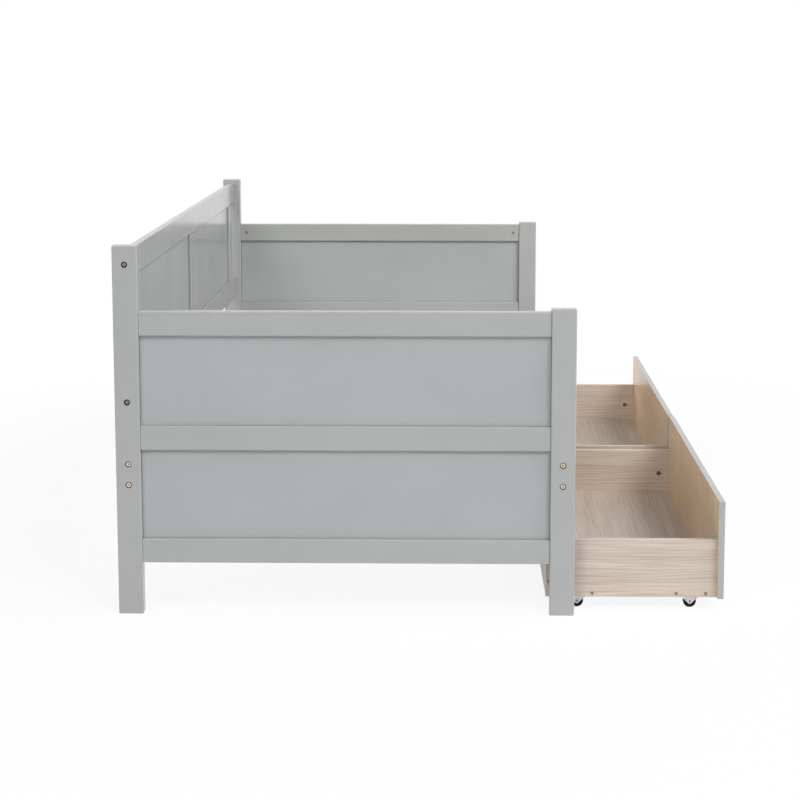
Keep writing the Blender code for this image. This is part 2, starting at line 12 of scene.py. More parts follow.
import bmesh
import bpy
import numpy as np
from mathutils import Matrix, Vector


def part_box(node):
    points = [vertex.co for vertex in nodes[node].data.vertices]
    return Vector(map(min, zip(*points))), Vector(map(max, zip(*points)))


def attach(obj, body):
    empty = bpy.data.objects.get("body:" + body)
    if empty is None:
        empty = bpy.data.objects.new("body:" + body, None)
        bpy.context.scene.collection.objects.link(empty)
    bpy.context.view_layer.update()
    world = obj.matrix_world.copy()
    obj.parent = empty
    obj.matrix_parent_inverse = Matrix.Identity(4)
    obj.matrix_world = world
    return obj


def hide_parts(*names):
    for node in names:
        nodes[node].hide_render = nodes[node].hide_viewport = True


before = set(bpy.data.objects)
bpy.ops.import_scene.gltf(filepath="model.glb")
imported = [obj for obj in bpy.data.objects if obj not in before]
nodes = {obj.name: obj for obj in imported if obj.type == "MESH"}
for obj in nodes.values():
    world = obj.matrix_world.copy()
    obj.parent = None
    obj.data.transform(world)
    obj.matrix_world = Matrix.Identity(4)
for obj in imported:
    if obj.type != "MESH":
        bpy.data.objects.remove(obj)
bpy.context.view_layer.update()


def low(node):
    """The lowest corner of a solid at rest."""
    return np.array(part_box(node)[0])


def high(node):
    """The highest corner of a solid at rest."""
    return np.array(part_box(node)[1])


# %% [markdown]
# ## The camera
# The picture is taken from the end of the bed, a little above it, with a long lens. The picture was
# straightened afterwards so that the posts stay upright and the rails level, which a lens shift does
# too. A large shift would push the bed out of the frame when it is looked at from elsewhere, so the
# camera tips down by seven degrees and the shift does the rest.

# %% Camera
LENS_MM = 77.622
SENSOR_MM = 36.0
SIDE_SHIFT = -0.03
DOWN_SHIFT = -0.18
CAMERA_PLACE = (-4.9546, -0.0685, 1.3414)
CAMERA_TURN = (83.0301, 0.0, -89.0903)

camera_data = bpy.data.cameras.new("camera")
camera_data.sensor_width = SENSOR_MM
camera_data.lens = LENS_MM
camera_data.shift_x = SIDE_SHIFT
camera_data.shift_y = DOWN_SHIFT
camera = bpy.data.objects.new("camera", camera_data)
camera.location = CAMERA_PLACE
camera.rotation_euler = [math.radians(angle) for angle in CAMERA_TURN]
bpy.context.scene.collection.objects.link(camera)
bpy.context.scene.camera = camera
bpy.context.scene.view_settings.view_transform = "Standard"
print("camera at", CAMERA_PLACE, "lens", LENS_MM, "mm")

# %% [markdown]
# ## Nodes in few words
# A shader is a small machine of boxes and wires. One helper adds a box, sets it up and plugs its
# wires in, so that each finish below reads as a list of steps. Colours are written as they look on a
# screen, from 0 to 255, and are turned into amounts of light here.


# %% Helpers for nodes
def screen(red, green, blue):
    """A colour as it looks on a screen, from 0 to 255, as amounts of light from 0 to 1. The numbers are
    those of the usual screen curve: a straight start, then a power of 2.4."""
    share = np.array([red, green, blue]) / 255
    light = np.where(share <= 0.04045, share / 12.92, ((share + 0.055) / 1.055) ** 2.4)
    return (*[float(part) for part in light], 1.0)


def add(tree, kind, inputs=None, **settings):
    """Adds a node. Each input is given a plain value, or the output socket that is wired to it."""
    node = tree.nodes.new(kind)
    for name, value in settings.items():
        setattr(node, name, value)
    for key, value in (inputs or {}).items():
        if isinstance(value, bpy.types.NodeSocket):
            tree.links.new(value, node.inputs[key])
        else:
            node.inputs[key].default_value = value
    return node


def between(tree, amount, first, second):
    """The colour between two colours at an amount from 0 to 1."""
    mix = add(tree, "ShaderNodeMix", {0: amount, 6: first, 7: second}, data_type="RGBA")
    return mix.outputs[2]


def spread(tree, value, low_in, high_in, low_out=0.0, high_out=1.0, smooth=False):
    """A value moved from one range to another and kept inside it."""
    inputs = {
        "Value": value, "From Min": low_in, "From Max": high_in, "To Min": low_out, "To Max": high_out,
    }
    kind = "SMOOTHSTEP" if smooth else "LINEAR"
    return add(tree, "ShaderNodeMapRange", inputs, interpolation_type=kind).outputs["Result"]


def figure(tree, operation, first, second=0.0):
    """One sum on two values."""
    return add(tree, "ShaderNodeMath", {0: first, 1: second}, operation=operation).outputs[0]


def new_group(name, numbers, results):
    """An empty node group that takes a vector and named numbers and gives named results."""
    tree = bpy.data.node_groups.new(name, "ShaderNodeTree")
    tree.interface.new_socket(name="Vector", in_out="INPUT", socket_type="NodeSocketVector")
    for number, value in numbers.items():
        socket = tree.interface.new_socket(name=number, in_out="INPUT", socket_type="NodeSocketFloat")
        socket.default_value = value
    for result in results:
        tree.interface.new_socket(name=result, in_out="OUTPUT", socket_type="NodeSocketFloat")
    return tree, tree.nodes.new("NodeGroupInput"), tree.nodes.new("NodeGroupOutput")


def noise(tree, vector, scale, detail=1.0, roughness=0.5):
    """Noise on a vector that is first stretched by three factors."""
    stretched = add(tree, "ShaderNodeVectorMath", {0: vector, 1: scale}, operation="MULTIPLY").outputs[0]
    inputs = {"Vector": stretched, "Scale": 1.0, "Detail": detail, "Roughness": roughness}
    return add(tree, "ShaderNodeTexNoise", inputs).outputs["Fac"]


print("helpers ready")

# %% [markdown]
# ## Floor and air
# The picture has a plain white ground that runs up into a white background. The floor is a pale
# plane. For eyes and mirrors it glows white and only lets a share of the real shadow through, and
# everything else sees it as an ordinary pale floor that throws soft light back up. Far from the bed
# it fades to pure white, so no edge shows. The air works the same way.

# %% Floor and air
FLOOR_REACH = 30.0
SHADOW_SHARE = 0.10
SHADOW_FADES = (1.2, 2.6)
FLOOR_SEEN = screen(250, 250, 250)
FLOOR_FOR_LIGHT = screen(243, 243, 243)
AIR_LIGHT = 0.05


def seen_directly(tree):
    """1 for rays that a viewer, a mirror or a glass sends out, and 0 for light that spreads."""
    path = add(tree, "ShaderNodeLightPath")
    seen = figure(tree, "MAXIMUM", path.outputs["Is Camera Ray"], path.outputs["Is Glossy Ray"])
    return figure(tree, "MAXIMUM", seen, path.outputs["Is Transmission Ray"])


def floor_finish():
    """White where it is seen, with a share of its shadow, and pale grey for spreading light."""
    material = bpy.data.materials.new("studio_floor")
    material.use_nodes = True
    tree = material.node_tree
    tree.nodes.clear()
    place = add(tree, "ShaderNodeTexCoord").outputs["Object"]
    away = add(tree, "ShaderNodeVectorMath", {0: place}, operation="LENGTH").outputs["Value"]
    near = spread(tree, away, *SHADOW_FADES, SHADOW_SHARE, 0.0, smooth=True)
    shaded = add(tree, "ShaderNodeBsdfDiffuse", {"Color": FLOOR_SEEN}).outputs[0]
    white = add(tree, "ShaderNodeEmission", {"Color": (1, 1, 1, 1), "Strength": 1.0}).outputs[0]
    seen = add(tree, "ShaderNodeMixShader", {0: near, 1: white, 2: shaded}).outputs[0]
    plain = add(tree, "ShaderNodeBsdfDiffuse", {"Color": FLOOR_FOR_LIGHT}).outputs[0]
    both = add(tree, "ShaderNodeMixShader", {0: seen_directly(tree), 1: plain, 2: seen}).outputs[0]
    add(tree, "ShaderNodeOutputMaterial", {"Surface": both})
    return material


floor_mesh = bpy.data.meshes.new("floor")
corners = np.array([(-1, -1, 0), (1, -1, 0), (1, 1, 0), (-1, 1, 0)]) * FLOOR_REACH
floor_mesh.from_pydata(corners.tolist(), [], [(0, 1, 2, 3)])
floor_mesh.materials.append(floor_finish())
floor = bpy.data.objects.new("floor", floor_mesh)
bpy.context.scene.collection.objects.link(floor)

air = bpy.data.worlds.new("studio_air")
air.use_nodes = True
air.node_tree.nodes.clear()
glow = spread(air.node_tree, seen_directly(air.node_tree), 0.0, 1.0, AIR_LIGHT, 1.0)
background = add(air.node_tree, "ShaderNodeBackground", {"Color": (1, 1, 1, 1), "Strength": glow})
add(air.node_tree, "ShaderNodeOutputWorld", {"Surface": background.outputs[0]})
bpy.context.scene.world = air
print("floor reaches", FLOOR_REACH, "m, air light", AIR_LIGHT)

# %% [markdown]
# ## Lamps
# The shadows say where the light stood. The left part of the far end lies in the back's shade, so a
# big soft lamp stood high behind the camera on the back's side. The floors of the drawers are light
# under the bed and dark beside their fronts, so more light fell in over the fronts: one lamp hangs
# above them and another high behind the camera. A low lamp fills in from there, and a last one stands
# behind the far end, so that the bed reads well from that side too.

# %% Lamps
LAMPS = {
    "key_lamp": {"place": (-13.0, 7.2, 12.3), "aim": (-0.4, 0.0, 0.4), "size": 8.3, "power": 1100.0},
    "side_lamp": {"place": (-1.2, -3.6, 4.2), "aim": (-0.2, 0.0, 0.3), "size": 2.4, "power": 91.0},
    "front_lamp": {"place": (-9.2, -6.8, 11.6), "aim": (-0.2, 0.0, 0.3), "size": 6.1, "power": 1090.0},
    "fill_lamp": {"place": (-1.6, -4.2, 1.8), "aim": (-0.2, 0.0, 0.3), "size": 3.0, "power": 42.0},
    "rear_lamp": {"place": (5.2, 4.4, 2.4), "aim": (0.2, 0.0, 0.4), "size": 3.4, "power": 165.0},
}
for lamp_name, lamp in LAMPS.items():
    lamp_data = bpy.data.lights.new(lamp_name, "AREA")
    lamp_data.shape = "DISK"
    lamp_data.size = lamp["size"]
    lamp_data.energy = lamp["power"]
    lamp_object = bpy.data.objects.new(lamp_name, lamp_data)
    lamp_object.location = lamp["place"]
    direction = Vector(lamp["aim"]) - Vector(lamp["place"])
    lamp_object.rotation_euler = direction.to_track_quat("-Z", "Y").to_euler()
    bpy.context.scene.collection.objects.link(lamp_object)
print("lamps:", ", ".join(LAMPS))

# %% [markdown]
# ## Wood grain as a node group
# A sawn board cuts through growth rings, which show as dark lines with one soft and one crisp edge.
# So the group counts rings across the board: the distance across, in metres, times the rings in a
# metre, keeps only its fraction, and each fraction runs from light early wood to dark late wood. Slow
# noise bends the distance first, so the lines wander and close into arches as they do on a real
# board, and a second noise lets them fade in and out along their way. Fine fibres and short pores come
# from noise that is slow along the board and quick across it, as the stretches below say: how many
# changes in a metre along the board, and how many across it both ways. The board's length always lies
# along the first axis, and each finish turns the coordinates so.

# %% Grain group
ACROSS_BOARD = (0.0, 1.0, 0.83)
SWAY_STRETCH = (1.1, 10.0, 10.0)
UNEVEN_STRETCH = (2.2, 70.0, 70.0)
FIBRE_STRETCH = (6.0, 460.0, 460.0)
PORE_STRETCH = (38.0, 1300.0, 1300.0)
TONE_STRETCH = (1.4, 42.0, 42.0)
RING_SOFT_EDGE = (0.50, 0.90)
RING_CRISP_EDGE = (0.92, 1.0)
FAINTEST_RING = 0.08
MIDDLE_OF_NOISE = (0.34, 0.66)
PEAKS_OF_NOISE = (0.60, 0.70)


def make_grain():
    """Rings, fibres, pores and slow tone of a board along the first axis, each from 0 to 1."""
    numbers = {"Rings in a metre": 150.0, "Wander": 0.03}
    tree, given, gives = new_group("wood_grain", numbers, ("Rings", "Fibres", "Pores", "Tone"))
    vector = given.outputs["Vector"]
    across = add(tree, "ShaderNodeVectorMath", {0: vector, 1: ACROSS_BOARD}, operation="DOT_PRODUCT")
    sway = spread(tree, noise(tree, vector, SWAY_STRETCH, detail=3.0), 0.0, 1.0, -1.0, 1.0)
    bent = figure(tree, "MULTIPLY", sway, given.outputs["Wander"])
    moved = figure(tree, "ADD", across.outputs["Value"], bent)
    count = figure(tree, "MULTIPLY", moved, given.outputs["Rings in a metre"])
    fraction = figure(tree, "FRACT", count)
    rise = spread(tree, fraction, *RING_SOFT_EDGE, smooth=True)
    fall = spread(tree, fraction, *RING_CRISP_EDGE, 1.0, 0.0, smooth=True)
    uneven = spread(tree, noise(tree, vector, UNEVEN_STRETCH), *MIDDLE_OF_NOISE, FAINTEST_RING, 1.0)
    line = figure(tree, "MULTIPLY", figure(tree, "MULTIPLY", rise, fall), uneven)
    tree.links.new(line, gives.inputs["Rings"])
    tree.links.new(noise(tree, vector, FIBRE_STRETCH, detail=2.0), gives.inputs["Fibres"])
    pores = noise(tree, vector, PORE_STRETCH)
    tree.links.new(spread(tree, pores, *PEAKS_OF_NOISE), gives.inputs["Pores"])
    tone = spread(tree, noise(tree, vector, TONE_STRETCH, detail=2.0), *MIDDLE_OF_NOISE)
    tree.links.new(tone, gives.inputs["Tone"])
    return tree


wood_grain = make_grain()
print("grain group:", len(wood_grain.nodes), "nodes")

# %% [markdown]
# ## The skin of a sprayed coat
# Sprayed paint is never quite even. The colour drifts a little over a hand's breadth, the surface has
# the fine dimples of orange peel, and over solid wood the grain still lifts it by a few hundredths of
# a millimetre. The group gives the drift and the height, and the finish decides how strong both are.

# %% Coat group
DRIFT_STRETCH = (3.2, 4.4, 4.4)
DIMPLE_STRETCH = (300.0, 300.0, 300.0)
RIDGE_STRETCH = (7.0, 330.0, 330.0)


def make_coat():
    """The slow drift of a coat's tone, and its height from dimples and from the grain under it."""
    tree, given, gives = new_group("sprayed_coat", {"Grain share": 0.5}, ("Drift", "Height"))
    vector = given.outputs["Vector"]
    drift = noise(tree, vector, DRIFT_STRETCH, detail=3.0, roughness=0.6)
    tree.links.new(drift, gives.inputs["Drift"])
    dimples = noise(tree, vector, DIMPLE_STRETCH)
    ridges = noise(tree, vector, RIDGE_STRETCH, detail=2.0)
    share = given.outputs["Grain share"]
    height = add(tree, "ShaderNodeMix", {0: share, 2: dimples, 3: ridges}).outputs[0]
    tree.links.new(height, gives.inputs["Height"])
    return tree


sprayed_coat = make_coat()
print("coat group:", len(sprayed_coat.nodes), "nodes")

# %% [markdown]
# ## Seams and their shade
# The parts are sprayed before they are put together, so a dark hairline stays open where a panel goes
# into its groove and where a rail meets a post. The dark line that the group gives is partly that open
# joint and partly painted shade: the shade that falls into the joint and into the corner beside it is
# painted into the colour. The group asks how near a point is to the edges of an opening, and gives 1
# in the line and 0 away from it. An edge that isn't given lies far off.

# %% Seam group
# How wide the dark line of open joint and painted shade is, and where it has faded, in metres.
SEAM_SHADE_CORE = 0.0004
SEAM_SHADE_FADE = 0.0013
FAR_OFF = 10.0


def make_seam_and_shade():
    """1 within a hairline of the edges of an opening, fading to 0 inside it: an open joint and
    its painted shade. The first axis of the vector runs across the opening and the second runs up it."""
    edges = {"Left": -FAR_OFF, "Right": FAR_OFF, "Bottom": -FAR_OFF, "Top": FAR_OFF}
    tree, given, gives = new_group("seam_and_shade", edges, ("Seam",))
    parts = add(tree, "ShaderNodeSeparateXYZ", {0: given.outputs["Vector"]})
    across, up = parts.outputs["X"], parts.outputs["Y"]
    nearest = figure(tree, "SUBTRACT", across, given.outputs["Left"])
    nearest = figure(tree, "MINIMUM", nearest, figure(tree, "SUBTRACT", given.outputs["Right"], across))
    nearest = figure(tree, "MINIMUM", nearest, figure(tree, "SUBTRACT", up, given.outputs["Bottom"]))
    nearest = figure(tree, "MINIMUM", nearest, figure(tree, "SUBTRACT", given.outputs["Top"], up))
    seam_shade = spread(tree, nearest, SEAM_SHADE_CORE, SEAM_SHADE_FADE, 1.0, 0.0, smooth=True)
    tree.links.new(seam_shade, gives.inputs["Seam"])
    return tree


seam_and_shade = make_seam_and_shade()
print("seam group:", len(seam_and_shade.nodes), "nodes")

# %% [markdown]
# ## The grey paint
# The timber is painted a pale, almost neutral grey with a silky shine: dull when you look straight at
# it, and bright as a mirror at a low angle, as the back of the bed shows. That is a plain layer of
# lacquer, so the roughness does the work and no metal or extra coat is needed. Each paint drifts
# between a light and a dark tint. The long rails are a touch bluer in the picture, and the panels
# bluer still. Posts stand and rails lie, so the grain under the coat is turned to suit each of them.

# %% Grey paint
POST_TINTS = (screen(178, 180.5, 179.5), screen(173, 175.5, 174.5))
RAIL_TINTS = (screen(178, 181, 181.5), screen(173, 176, 176.5))
PANEL_TINTS = (screen(177.5, 182, 182.5), screen(172.5, 177, 177.5))
TIMBER_GRAIN = 0.6
PANEL_GRAIN = 0.15
DRIFT_SHOWN = (0.3, 0.7)
SILKY = (0.15, 0.20)
COAT_DEPTH = 0.00006
TURN_TO_GRAIN = {"X": (0, 0, 0), "Y": (0, 0, -math.pi / 2), "Z": (0, math.pi / 2, 0)}


def new_finish(name):
    """An empty finish: its tree, its shader node, and the object's own coordinates."""
    material = bpy.data.materials.new(name)
    material.use_nodes = True
    tree = material.node_tree
    shader = tree.nodes["Principled BSDF"]
    return material, tree, shader, add(tree, "ShaderNodeTexCoord").outputs["Object"]


def turned_grain(tree, place, along):
    """Coordinates turned so that the grain, which runs along X, Y or Z, lies along the first axis."""
    return add(tree, "ShaderNodeMapping", {"Vector": place, "Rotation": TURN_TO_GRAIN[along]}).outputs[0]


def relief(tree, height, depth):
    """A normal that leans as a height of so many metres would make it lean."""
    inputs = {"Height": height, "Distance": depth, "Strength": 1.0}
    return add(tree, "ShaderNodeBump", inputs).outputs["Normal"]


def coated(tree, place, along, grain_share):
    """The coat group on wood whose grain runs along one axis, and its drift made plain to see."""
    coat = add(tree, "ShaderNodeGroup", {}, node_tree=sprayed_coat)
    tree.links.new(turned_grain(tree, place, along), coat.inputs["Vector"])
    coat.inputs["Grain share"].default_value = grain_share
    return coat, spread(tree, coat.outputs["Drift"], *DRIFT_SHOWN)


def painted(name, along, grain_share=TIMBER_GRAIN, tints=POST_TINTS):
    """Silky grey paint over wood whose grain runs along one axis."""
    material, tree, shader, place = new_finish(name)
    coat, drift = coated(tree, place, along, grain_share)
    light, dark = tints
    tree.links.new(between(tree, drift, dark, light), shader.inputs["Base Color"])
    tree.links.new(spread(tree, drift, 0.0, 1.0, *SILKY), shader.inputs["Roughness"])
    tree.links.new(relief(tree, coat.outputs["Height"], COAT_DEPTH), shader.inputs["Normal"])
    return material


post_paint = painted("grey_paint_post", "Z")
print("paint:", post_paint.name)

# %% [markdown]
# ## Paint with seams and painted shade
# Each panel, rail and stile gets its own copy of the paint, because its seams and their painted shade
# lie in its own places. The seams are worked out on a flat map of the piece, with one axis across it
# and Z up it.

# %% Paint with seams
# The dark colour of the seams, which is partly an open joint and partly painted shade.
SEAM_SHADE_DARK = screen(72, 73, 72)
SEAM_SHADE_STRENGTH = 0.9
CLOSED_BY = 0.0005


def edge_at(corner, axis):
    """Where one side of a box lies along an axis, as a plain number for a socket."""
    return float(corner["XYZ".index(axis)])


def seamed_with_shade(material, edges, across="Y", fold=None):
    """The same paint with a dark line at the edges of an opening across one axis and up Z: an open
    joint with painted shade in it. With a fold, a point counts by its distance from a plane, so that
    both faces of a panel have a seam."""
    tree = material.node_tree
    shader = tree.nodes["Principled BSDF"]
    parts = add(tree, "ShaderNodeSeparateXYZ", {0: add(tree, "ShaderNodeTexCoord").outputs["Object"]})
    wide = parts.outputs[across]
    if fold is not None:
        wide = figure(tree, "ABSOLUTE", figure(tree, "SUBTRACT", wide, fold))
    flat = add(tree, "ShaderNodeCombineXYZ", {0: wide, 1: parts.outputs["Z"]})
    seam_shade = add(tree, "ShaderNodeGroup", {}, node_tree=seam_and_shade)
    tree.links.new(flat.outputs[0], seam_shade.inputs["Vector"])
    for edge, at in edges.items():
        seam_shade.inputs[edge].default_value = at
    # The seam darkens the paint: partly an open joint, partly painted shade.
    amount = figure(tree, "MULTIPLY", seam_shade.outputs["Seam"], SEAM_SHADE_STRENGTH)
    paint = shader.inputs["Base Color"].links[0].from_socket
    tree.links.new(between(tree, amount, paint, SEAM_SHADE_DARK), shader.inputs["Base Color"])
    return material


print("seams can be added to a paint")

# %% [markdown]
# ## Seams of the ends
# In both ends, a rail has a seam with painted shade at each post and a panel has one all round. A
# panel stands on the rail below it, so its lower seam is nearly closed.

# %% Seams of the ends
seam_and_shade_paint = {}
for end in ("left", "right"):
    posts = {
        "Left": edge_at(high(f"{end}_front_post"), "Y"), "Right": edge_at(low(f"{end}_rear_post"), "Y"),
    }
    for rail in ("top", "mid", "bottom"):
        seam_and_shade_paint[f"{end}_{rail}_rail"] = seamed_with_shade(painted(f"grey_paint_{end}_{rail}", "Y"), posts)
    for panel, over, under in (("upper", "top", "mid"), ("lower", "mid", "bottom")):
        edges = {
            **posts,
            "Bottom": edge_at(high(f"{end}_{under}_rail"), "Z") - CLOSED_BY,
            "Top": edge_at(low(f"{end}_{over}_rail"), "Z"),
        }
        paint = painted(f"grey_panel_paint_{end}_{panel}", "Y", PANEL_GRAIN, PANEL_TINTS)
        seam_and_shade_paint[f"{end}_{panel}_panel"] = seamed_with_shade(paint, edges)
print("seams on:", ", ".join(seam_and_shade_paint))

# %% [markdown]
# ## Seams of the back and the long rails
# The long rails have a seam with painted shade at each post too. A stile has one at its foot and one
# along each face of the panels beside it, and there the line is painted shade in the corner between
# stile and panel. Under the top rail of the back the picture shows none, so it is left out there.

# %% Seams of the back and the long rails
posts = {"Left": edge_at(high("left_rear_post"), "X"), "Right": edge_at(low("right_rear_post"), "X")}
for rail in ("back_top_rail", "back_bottom_rail", "front_side_rail", "rear_side_rail"):
    paint = painted(f"grey_paint_{rail}", "X", TIMBER_GRAIN, RAIL_TINTS)
    seam_and_shade_paint[rail] = seamed_with_shade(paint, posts, "X")

foot = edge_at(high("back_bottom_rail"), "Z")
panel_front, panel_rear = (edge_at(corner("back_left_panel"), "Y") for corner in (low, high))
panel_middle = (panel_front + panel_rear) / 2
faces = {"Left": panel_rear - panel_middle, "Bottom": foot}
# On a stile the seam darkens its sides next to the panels: painted shade of that corner.
for stile in ("left", "mid", "right"):
    paint = painted(f"grey_paint_back_{stile}_stile", "Z")
    seam_and_shade_paint[f"back_{stile}_stile"] = seamed_with_shade(paint, faces, "Y", panel_middle)
for panel, before, after in (("left", "left", "mid"), ("right", "mid", "right")):
    edges = {
        "Left": edge_at(high(f"back_{before}_stile"), "X"),
        "Right": edge_at(low(f"back_{after}_stile"), "X"),
        "Bottom": foot - CLOSED_BY,
    }
    paint = painted(f"grey_panel_paint_back_{panel}", "Y", PANEL_GRAIN, PANEL_TINTS)
    seam_and_shade_paint[f"back_{panel}_panel"] = seamed_with_shade(paint, edges, "X")
print("pieces with seams:", len(seam_and_shade_paint))

# %% [markdown]
# ## Pale oak of the drawer boxes
# The boxes are boards faced with a pale, slightly pink oak pattern. Its dark lines lie less than a
# finger's width apart and fade in and out along the board. The slow tone moves the ground between
# cream and pink, the rings take the darkest of three colours, and the pores are short dark dashes. The
# bottom of a box gets a darker copy of the oak: painted shade, for the shade that falls into the box.
# Pine for the slats is the same recipe with wider rings, softer fibres and a paler, creamy ground.

# %% Oak and pine boards
FIBRES_SHOWN = (0.42, 0.66)
PORE_STRENGTH = 0.35
FIBRE_DEPTH = 0.00005


def boarded(name, along, colours, rings, shine=(0.42, 0.56), lines=0.45, wander=0.03, fibres=0.42):
    """A board of light, rosy and dark colours mixed by the grain group's rings, fibres and pores. The
    shine is the roughness off and on a ring, and the last three say how strong the lines are, how
    far they wander in metres, and how strong the fibres are."""
    material, tree, shader, place = new_finish(name)
    grain = add(tree, "ShaderNodeGroup", {}, node_tree=wood_grain)
    tree.links.new(turned_grain(tree, place, along), grain.inputs["Vector"])
    grain.inputs["Rings in a metre"].default_value = rings
    grain.inputs["Wander"].default_value = wander
    light, rosy, dark = colours
    ground = between(tree, grain.outputs["Tone"], light, rosy)
    ringed = between(tree, figure(tree, "MULTIPLY", grain.outputs["Rings"], lines), ground, dark)
    fine = spread(tree, grain.outputs["Fibres"], *FIBRES_SHOWN, 0.0, fibres)
    fibred = between(tree, fine, ringed, dark)
    dashes = figure(tree, "MULTIPLY", grain.outputs["Pores"], PORE_STRENGTH)
    dashed = between(tree, dashes, fibred, dark)
    tree.links.new(dashed, shader.inputs["Base Color"])
    tree.links.new(spread(tree, grain.outputs["Rings"], 0.0, 1.0, *shine), shader.inputs["Roughness"])
    tree.links.new(relief(tree, grain.outputs["Fibres"], FIBRE_DEPTH), shader.inputs["Normal"])
    return material


OAK = (screen(221, 209, 198), screen(213, 199, 187), screen(168, 143, 122))
# A darker copy of the oak for the drawer bottoms: painted shade.
SHADED_BOTTOM_OAK = (screen(211, 199, 189), screen(203, 189, 178), screen(160, 136, 117))
PINE = (screen(230, 219, 203), screen(233, 224, 210), screen(204, 184, 156))
OAK_RINGS = 150.0
PINE_RINGS = 110.0
oak_along = {axis: boarded(f"pale_oak_{axis.lower()}", axis, OAK, OAK_RINGS) for axis in "XY"}
shaded_bottom_oak = boarded("pale_oak_bottom_shaded", "X", SHADED_BOTTOM_OAK, OAK_RINGS)
pine = boarded("pine", "Y", PINE, PINE_RINGS, shine=(0.5, 0.62), lines=0.55, wander=0.04, fibres=0.25)
print("boards:", [board.name for board in oak_along.values()], shaded_bottom_oak.name, pine.name)

# %% [markdown]
# ## The drawer fronts
# Each front is one board: painted on its outer face and edges, and left as golden veneer on the
# inside, with upright grain. The veneer is a skin half a millimetre thick on the inner face, so the
# finish asks how far back a point lies and changes over there.

# %% Drawer fronts
VENEER = (screen(248, 222, 187), screen(238, 210, 173), screen(197, 164, 127))
VENEER_RINGS = 70.0
VENEER_SKIN = 0.0005
FRONT_GRAIN = 0.2


def drawer_front_finish(side):
    """Grey paint, and golden veneer where a point is within the skin of the inner face."""
    name = f"{side}_drawer_front"
    material = boarded(f"{name}_board", "Z", VENEER, VENEER_RINGS, (0.28, 0.38), lines=0.28, fibres=0.5)
    tree = material.node_tree
    shader = tree.nodes["Principled BSDF"]
    place = add(tree, "ShaderNodeTexCoord").outputs["Object"]
    parts = add(tree, "ShaderNodeSeparateXYZ", {0: place})
    skin = edge_at(high(name), "Y") - VENEER_SKIN
    inside = figure(tree, "GREATER_THAN", parts.outputs["Y"], skin)
    coat, drift = coated(tree, place, "X", FRONT_GRAIN)
    light, dark = POST_TINTS
    grey = between(tree, drift, dark, light)
    golden = shader.inputs["Base Color"].links[0].from_socket
    tree.links.new(between(tree, inside, grey, golden), shader.inputs["Base Color"])
    dull = shader.inputs["Roughness"].links[0].from_socket
    silky = spread(tree, coat.outputs["Drift"], *DRIFT_SHOWN, *SILKY)
    mixed = add(tree, "ShaderNodeMix", {0: inside, 2: silky, 3: dull}).outputs[0]
    tree.links.new(mixed, shader.inputs["Roughness"])
    return material


front_finish = {side: drawer_front_finish(side) for side in ("left", "right")}
print("fronts:", [finish.name for finish in front_finish.values()])

# %% [markdown]
# ## Metal and plastic
# Small fittings need small marks. The bolts, nuts and screws are plated steel, rubbed lighter in
# places, the caster brackets are white enamel, and the wheels are black nylon with the dull bloom of
# moulded plastic. One group gives the drifting rub marks, and each finish mixes its own colours with
# them.

# %% Fittings group and finishes
RUB_SHOWN = (0.35, 0.68)
SATIN_STRETCH = (2400.0, 2400.0, 2400.0)
SATIN_DEPTH = 0.00002


def make_rub():
    """Soft rub marks and a fine satin texture, each from 0 to 1."""
    tree, given, gives = new_group("rub_marks", {"Marks in a metre": 260.0}, ("Rub", "Satin"))
    scale = given.outputs["Marks in a metre"]
    wide = add(tree, "ShaderNodeCombineXYZ", {0: scale, 1: scale, 2: scale}).outputs[0]
    rub = noise(tree, given.outputs["Vector"], wide, detail=3.0, roughness=0.6)
    tree.links.new(spread(tree, rub, *RUB_SHOWN, smooth=True), gives.inputs["Rub"])
    tree.links.new(noise(tree, given.outputs["Vector"], SATIN_STRETCH), gives.inputs["Satin"])
    return tree


rub_marks = make_rub()


def fitting(name, worn, deep, shine, metal=0.0, marks=260.0, mirror=0.5):
    """A plated, enamelled or moulded surface between a worn and a deep colour. The mirror is how much
    light its skin throws straight back: 1 for glassy enamel, 0.5 for most things, less for dull
    nylon."""
    material, tree, shader, place = new_finish(name)
    rub = add(tree, "ShaderNodeGroup", {}, node_tree=rub_marks)
    tree.links.new(place, rub.inputs["Vector"])
    rub.inputs["Marks in a metre"].default_value = marks
    tree.links.new(between(tree, rub.outputs["Rub"], deep, worn), shader.inputs["Base Color"])
    tree.links.new(spread(tree, rub.outputs["Rub"], 0.0, 1.0, *shine), shader.inputs["Roughness"])
    tree.links.new(relief(tree, rub.outputs["Satin"], SATIN_DEPTH), shader.inputs["Normal"])
    shader.inputs["Metallic"].default_value = metal
    shader.inputs["Specular IOR Level"].default_value = mirror
    return material


copper = fitting("copper_plate", screen(248, 234, 218), screen(230, 206, 184), (0.24, 0.36), metal=1.0)
bronze = fitting("dark_bronze", screen(112, 82, 62), screen(58, 40, 31), (0.36, 0.52), metal=1.0)
brass = fitting("dull_brass", screen(150, 136, 108), screen(100, 88, 66), (0.30, 0.44), metal=1.0)
tan = fitting("tan_screw", screen(178, 138, 106), screen(126, 94, 70), (0.34, 0.48), metal=1.0)
steel = fitting("dark_steel", screen(132, 132, 134), screen(92, 92, 95), (0.30, 0.44), metal=1.0)
zinc = fitting("bright_zinc", screen(204, 206, 208), screen(168, 170, 174), (0.26, 0.40), metal=1.0)
enamel = fitting(
    "white_enamel", screen(252, 253, 255), screen(248, 249, 251), (0.22, 0.30), marks=40.0, mirror=1.0
)
nylon = fitting(
    "black_nylon", screen(22, 21, 21), screen(14, 13, 13), (0.46, 0.60), marks=120.0, mirror=0.28
)
